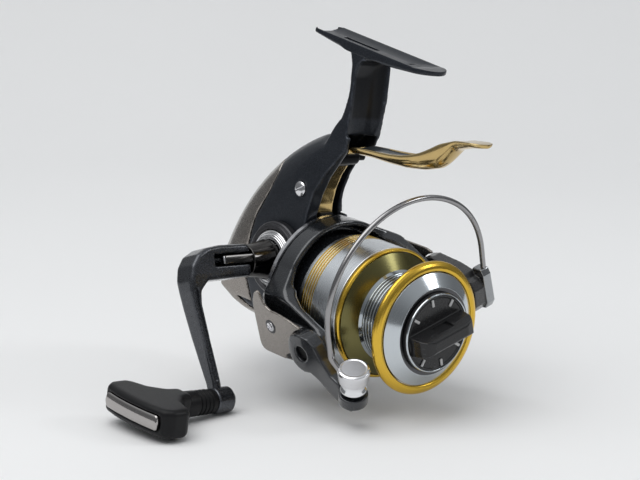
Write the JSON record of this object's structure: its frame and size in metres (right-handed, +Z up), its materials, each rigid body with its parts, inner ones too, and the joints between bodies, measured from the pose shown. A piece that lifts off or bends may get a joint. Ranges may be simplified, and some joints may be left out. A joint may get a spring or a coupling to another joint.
{
  "type": "spinning reel",
  "caption": "Lever-brake spinning reel with folding crank handle, rotor with bail and line roller, stroking spool with front drag knob, and a rod foot.",
  "frame": {"origin": "middle of the flat seat on top of the rod foot", "axes": "+Y back along the spool shaft and the rod, +Z up out of the foot seat, -X the handle side"},
  "size_m": [0.1327, 0.1312, 0.1399],
  "materials": {
    "body_paint": "metallic graphite paint, satin",
    "rotor_paint": "metallic graphite paint, satin",
    "taupe_paint": "champagne taupe metallic paint",
    "crank_paint": "dark metallic paint, bright cut edge",
    "gold": "gold anodised, turned",
    "spool_metal": "polished and turned",
    "dark_ring": "dark anodised",
    "chrome": "bright plated",
    "dark_chrome": "dark nickel plate",
    "steel": "fine ground",
    "brass": "machined",
    "zinc": "cast gear metal",
    "black_plastic": "moulded, fine grain",
    "gloss_black": "gloss moulded",
    "bush_plastic": "low-friction moulded",
    "rubber": "seal rubber",
    "felt": "pressed felt"
  },
  "bodies": {
    "frame": {"body_housing": "body_paint", "side_cover": "body_paint", "rear_guard": "taupe_paint", "guard_screw": "steel", "side_screw": "steel", "cover_screws": "steel", "handle_collar": "gloss_black", "seal_ring": "chrome", "gear_bearing_left": "steel", "gear_bearing_right": "steel", "shaft_cap": "steel", "pinion_bearing": "steel", "clutch_housing": "steel", "lever_pin": "steel", "guide_rod": "steel", "worm_bushes": "bush_plastic"},
    "drive": {"drive_gear": "zinc", "drive_shaft": "steel", "handle_barrel": "dark_chrome", "fold_pin": "steel"},
    "crank": {"handle_arm": "crank_paint", "grip_shaft": "steel"},
    "grip": {"grip": "black_plastic", "grip_plate": "dark_chrome"},
    "rotor": {"rotor": "rotor_paint", "pinion": "brass", "rotor_nut": "steel", "clutch_sleeve": "steel", "brake_ring": "steel", "arm_cover": "taupe_paint", "arm_cover_screw": "steel", "far_arm_cover": "taupe_paint", "far_cover_screw": "steel", "bail_pivot_near": "steel", "bail_pivot_far": "steel", "bail_spring": "steel"},
    "bail": {"bail_arm": "crank_paint", "bail_holder": "gloss_black", "bail_wire": "steel", "wire_cap": "chrome", "holder_screw": "steel", "roller_pin": "steel"},
    "roller": {"line_roller": "chrome"},
    "shaft": {"main_shaft": "steel", "slider": "zinc", "pawl": "brass", "slider_screw": "steel"},
    "spool": {"spool": "spool_metal", "lip_ring": "gold", "flange_ring": "gold", "skirt_rings": "gold", "drag_washers": "felt", "click_ring": "steel"},
    "knob": {"drag_knob": "gloss_black", "knob_rim": "chrome", "knob_ticks": "bush_plastic", "drag_spring": "steel"},
    "lever": {"brake_lever": "gold", "brake_shoe": "rubber"},
    "worm": {"worm_shaft": "steel"}
  },
  "joints": [
    {"name": "handle_turn", "type": "hinge", "parent": "frame", "child": "drive", "pos_m": [0, 0.03, -0.08415], "axis": [1, 0, 0], "continuous": true},
    {"name": "handle_fold", "type": "hinge", "parent": "drive", "child": "crank", "pos_m": [-0.0312, 0.03405, -0.08588], "axis": [0, -0.3923, -0.9198], "range_deg": [0, 90]},
    {"name": "grip_spin", "type": "hinge", "parent": "crank", "child": "grip", "pos_m": [-0.06, 0.01027, -0.13042], "axis": [1, 0, 0], "continuous": true},
    {"name": "rotor_spin", "type": "hinge", "parent": "frame", "child": "rotor", "pos_m": [0, 0, -0.09281], "axis": [0, 1, 0], "continuous": true},
    {"name": "bail_flip", "type": "hinge", "parent": "rotor", "child": "bail", "pos_m": [0.00056, -0.012, -0.0942], "axis": [0.9272, 0, 0.3746], "range_deg": [0, 85]},
    {"name": "roller_spin", "type": "hinge", "parent": "bail", "child": "roller", "pos_m": [-0.02857, -0.0367, -0.11179], "axis": [-0.3618, -0.2588, 0.8956], "continuous": true},
    {"name": "worm_spin", "type": "hinge", "parent": "frame", "child": "worm", "pos_m": [-0.005, 0.036, -0.101], "axis": [0, 1, 0], "continuous": true},
    {"name": "spool_stroke", "type": "slide", "parent": "frame", "child": "shaft", "axis": [0, 1, 0], "range_m": [-0.004, 0.009]},
    {"name": "spool_slip", "type": "hinge", "parent": "shaft", "child": "spool", "pos_m": [0, -0.03, -0.09281], "axis": [0, 1, 0], "continuous": true},
    {"name": "drag_turn", "type": "hinge", "parent": "shaft", "child": "knob", "pos_m": [0, -0.048, -0.09281], "axis": [0, 1, 0], "range_deg": [-360, 360]},
    {"name": "brake_lever_pull", "type": "hinge", "parent": "frame", "child": "lever", "pos_m": [0, 0.0144, -0.04181], "axis": [-1, 0, 0], "range_deg": [-3, 4], "stiffness_Nm_per_rad": 0.3}
  ],
  "couplings": [
    {"joint": "rotor_spin", "follows": "handle_turn", "ratio": 4.6},
    {"joint": "worm_spin", "follows": "handle_turn", "ratio": -2.3}
  ]
}
